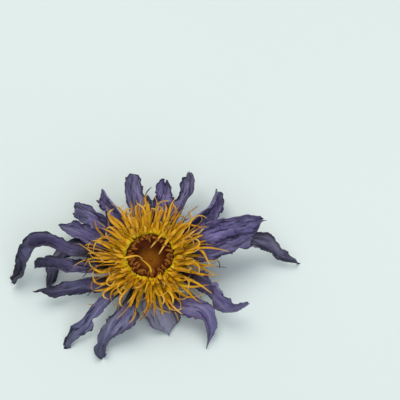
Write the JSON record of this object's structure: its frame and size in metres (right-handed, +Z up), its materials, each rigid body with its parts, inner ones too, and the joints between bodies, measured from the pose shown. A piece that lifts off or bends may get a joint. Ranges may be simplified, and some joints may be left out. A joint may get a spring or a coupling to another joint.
{
  "type": "dried blue lotus flower",
  "caption": "Dried, opened blue lotus flower head cut just below the head, with curled violet petals and a brush of yellow stamens round a brown cupped disc.",
  "frame": {"origin": "centre of the bounding box's base, on the surface that the flower rests on", "axes": "+Z up, through the face-up flower; the head leans a little towards -Y, and the longest sepal points along +X"},
  "size_m": [0.0866, 0.0628, 0.0211],
  "materials": {
    "dried_petal": "dry, papery, finely veined",
    "dried_sepal": "dry, leathery, ribbed",
    "dried_stamen": "dry, matt, slightly translucent",
    "dried_pistil": "dry, matt, faintly rayed",
    "dried_stalk": "dry, spongy, ribbed"
  },
  "bodies": {
    "root": {"stalk": "dried_stalk", "pistil": "dried_pistil", "sepal_front": "dried_sepal", "sepal_right": "dried_sepal", "sepal_back": "dried_sepal", "sepal_left": "dried_sepal", "petal_front_left": "dried_petal", "petal_front_broad": "dried_petal", "petal_front_folded": "dried_petal", "petal_right_crooked": "dried_petal", "petal_right_low": "dried_petal", "petal_right_high": "dried_petal", "petal_back_right_low": "dried_petal", "petal_back_right_high": "dried_petal", "petal_back_low": "dried_petal", "petal_back_high": "dried_petal", "petal_back_left_low": "dried_petal", "petal_back_left_high": "dried_petal", "petal_left_broad": "dried_petal", "petal_left_arched": "dried_petal", "petal_left_violet": "dried_petal", "petal_left_low": "dried_petal", "stamens_inner_1": "dried_stamen", "stamens_inner_2": "dried_stamen", "stamens_inner_3": "dried_stamen", "stamens_inner_4": "dried_stamen", "stamens_inner_5": "dried_stamen", "stamens_inner_6": "dried_stamen", "stamens_inner_7": "dried_stamen", "stamens_inner_8": "dried_stamen", "stamens_middle_1": "dried_stamen", "stamens_middle_2": "dried_stamen", "stamens_middle_3": "dried_stamen", "stamens_middle_4": "dried_stamen", "stamens_middle_5": "dried_stamen", "stamens_middle_6": "dried_stamen", "stamens_middle_7": "dried_stamen", "stamens_middle_8": "dried_stamen", "stamens_outer_1": "dried_stamen", "stamens_outer_2": "dried_stamen", "stamens_outer_3": "dried_stamen", "stamens_outer_4": "dried_stamen", "stamens_outer_5": "dried_stamen", "stamens_outer_6": "dried_stamen", "stamens_outer_7": "dried_stamen", "stamens_outer_8": "dried_stamen"}
  },
  "joints": []
}
